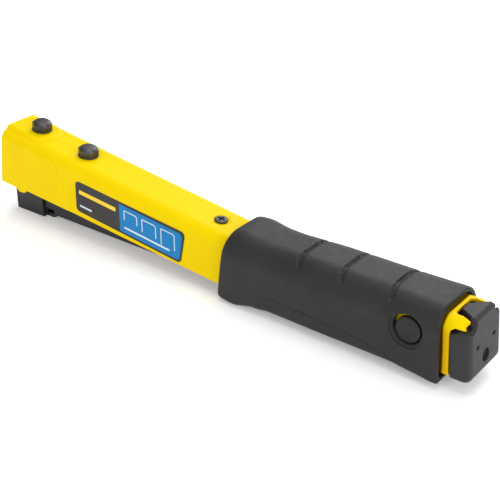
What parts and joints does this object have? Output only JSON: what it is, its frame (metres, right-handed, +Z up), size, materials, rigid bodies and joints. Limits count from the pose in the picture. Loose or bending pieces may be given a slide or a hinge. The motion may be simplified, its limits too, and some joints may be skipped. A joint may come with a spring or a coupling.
{
  "type": "staple gun",
  "caption": "Hammer tacker: a swing-type staple gun with a pressed-steel body, rubber grip, sprung hinged magazine and a rear-loading pusher.",
  "frame": {"origin": "bottom centre of the tool's box: the tool stands on the tip of its nose and the front flare of its grip", "axes": "+X from the head to the end cap, +Z up, with the mid plane at y = 0"},
  "size_m": [0.327, 0.0414, 0.0609],
  "materials": {
    "yellow_paint": "gloss powder coat on pressed steel",
    "tool_steel": "ground tool steel",
    "zinc_steel": "zinc plated",
    "spring_steel": "bright spring steel",
    "black_oxide": "black oxide",
    "black_steel": "satin black paint on steel",
    "grip_rubber": "matte moulded rubber",
    "black_plastic": "fine-textured moulded nylon",
    "label_film": "printed film label"
  },
  "bodies": {
    "handle": {"body_shell": "yellow_paint", "striker_block": "tool_steel", "driver_blade": "tool_steel", "blade_screw_left": "zinc_steel", "blade_screw_right": "zinc_steel", "hex_bolt_front": "black_oxide", "bolt_washer_front": "black_oxide", "hex_bolt_rear": "black_oxide", "bolt_washer_rear": "black_oxide", "strike_bumper": "grip_rubber", "return_leaf_spring": "spring_steel", "top_screw": "black_oxide", "top_screw_nut": "zinc_steel", "grip_sleeve": "grip_rubber", "pivot_pin": "black_oxide", "pivot_cap": "black_oxide", "pivot_spacer_left": "zinc_steel", "pivot_spacer_right": "zinc_steel", "side_label_left": "label_film", "side_label_right": "label_film"},
    "magazine": {"magazine_channel": "black_steel", "staple_rail": "zinc_steel", "magazine_cover": "black_steel", "nose_block": "black_steel", "nose_plate": "black_steel", "nose_rivet_1": "zinc_steel", "nose_rivet_2": "zinc_steel", "nose_rivet_3": "zinc_steel", "nose_rivet_4": "zinc_steel", "rail_rivet_1": "zinc_steel", "rail_rivet_2": "zinc_steel", "rail_rivet_3": "zinc_steel", "pivot_bush": "zinc_steel"},
    "pusher": {"end_cap": "black_plastic", "pusher_rod": "spring_steel", "rod_clip": "spring_steel", "spring_seat": "zinc_steel", "pusher_spring": "spring_steel"},
    "follower": {"follower": "tool_steel"}
  },
  "joints": [
    {"name": "magazine_swing", "type": "hinge", "parent": "handle", "child": "magazine", "pos_m": [0.12886, 0, 0.02614], "axis": [0, 1, 0], "range_deg": [0, 2.4], "stiffness_Nm_per_rad": 30, "springref_deg": -7.62, "deforming": ["return_leaf_spring"]},
    {"name": "pusher_pull", "type": "slide", "parent": "magazine", "child": "pusher", "axis": [0.9999, 0, 0.0123], "range_m": [0, 0.215]},
    {"name": "follower_travel", "type": "slide", "parent": "pusher", "child": "follower", "axis": [0.9999, 0, 0.0123], "range_m": [0, 0.19], "stiffness_N_per_m": 20, "springref_m": -0.2, "deforming": ["pusher_spring"]}
  ]
}
